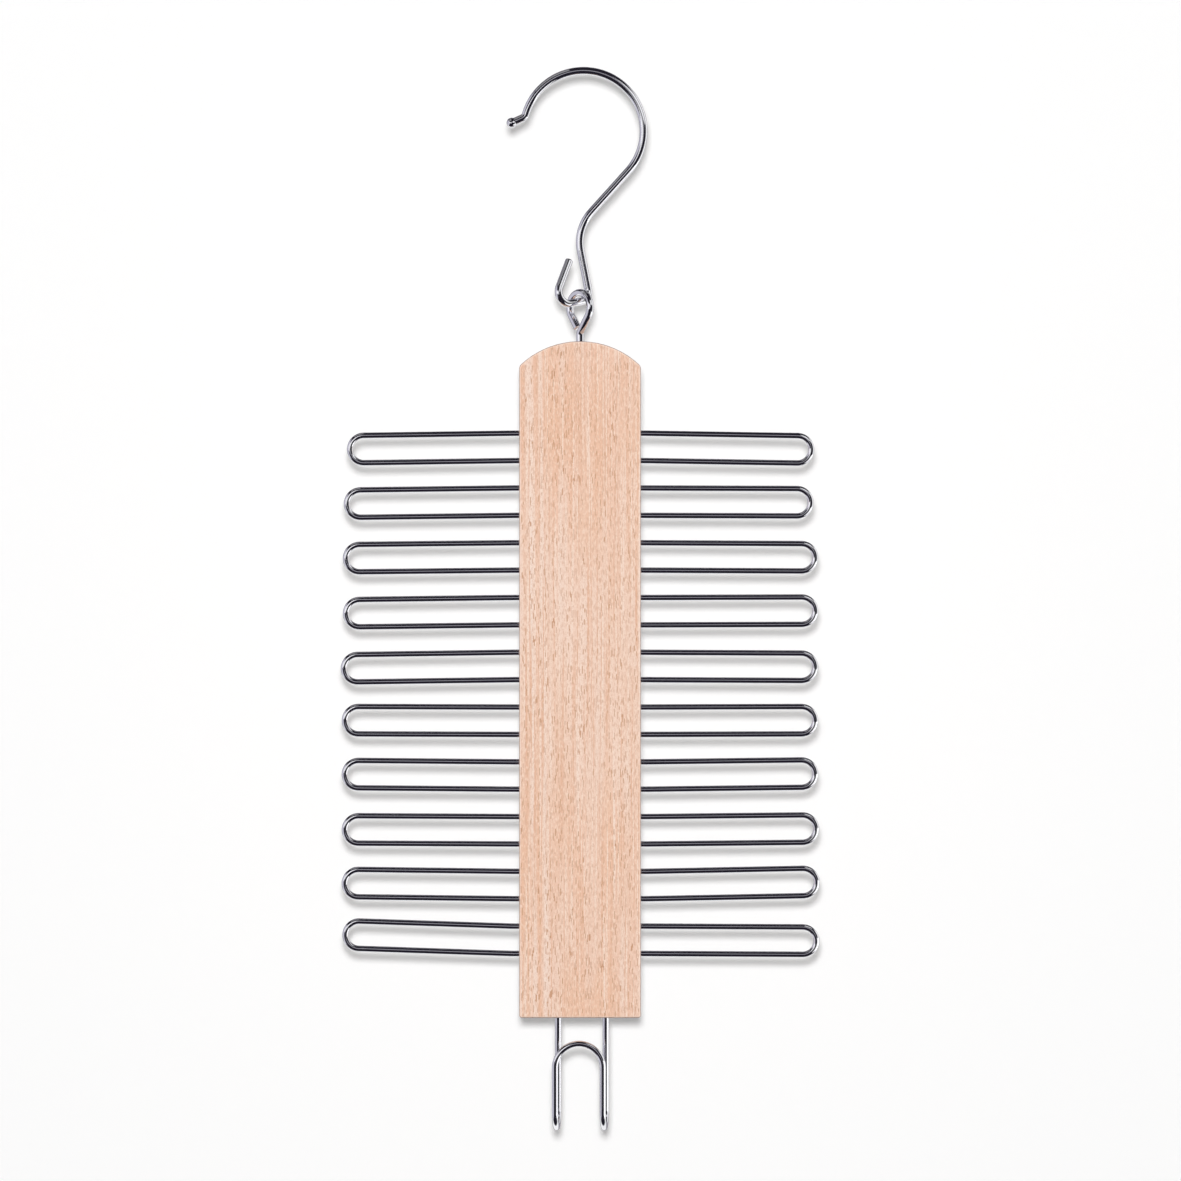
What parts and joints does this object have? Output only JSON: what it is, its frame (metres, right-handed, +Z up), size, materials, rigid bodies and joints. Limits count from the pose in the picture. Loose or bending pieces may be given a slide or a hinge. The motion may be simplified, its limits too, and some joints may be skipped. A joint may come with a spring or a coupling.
{
  "type": "tie hanger",
  "caption": "Beech board that hangs from a linked wire hook, with bent wire loops along both sides for ties and a double wire hook below for belts.",
  "frame": {"origin": "on the board's vertical centre line, level with the underside of the rail hook's crown, where it rests on a rail", "axes": "+Z up along the hanging board, +X to the right across the board, front towards -Y"},
  "size_m": [0.2012, 0.0237, 0.4466],
  "materials": {
    "beech": "fine sanded, thin clear lacquer",
    "chrome_wire": "bright plated wire"
  },
  "bodies": {
    "hook": {"rail_hook": "chrome_wire"},
    "eye": {"screw_eye": "chrome_wire"},
    "board": {"board": "beech", "tie_loop_left_1": "chrome_wire", "tie_loop_left_2": "chrome_wire", "tie_loop_left_3": "chrome_wire", "tie_loop_left_4": "chrome_wire", "tie_loop_left_5": "chrome_wire", "tie_loop_left_6": "chrome_wire", "tie_loop_left_7": "chrome_wire", "tie_loop_left_8": "chrome_wire", "tie_loop_left_9": "chrome_wire", "tie_loop_left_10": "chrome_wire", "tie_loop_right_1": "chrome_wire", "tie_loop_right_2": "chrome_wire", "tie_loop_right_3": "chrome_wire", "tie_loop_right_4": "chrome_wire", "tie_loop_right_5": "chrome_wire", "tie_loop_right_6": "chrome_wire", "tie_loop_right_7": "chrome_wire", "tie_loop_right_8": "chrome_wire", "tie_loop_right_9": "chrome_wire", "tie_loop_right_10": "chrome_wire", "belt_hook": "chrome_wire"}
  },
  "joints": [
    {"name": "eye_swing", "type": "hinge", "parent": "hook", "child": "eye", "pos_m": [0, -0.00316, -0.09536], "axis": [0.7942, 0.5878, 0.1544], "range_deg": [-60, 60]},
    {"name": "eye_turn", "type": "hinge", "parent": "eye", "child": "board", "pos_m": [0, -0.00316, -0.11208], "axis": [0, 0, 1], "range_deg": [-90, 90]}
  ]
}
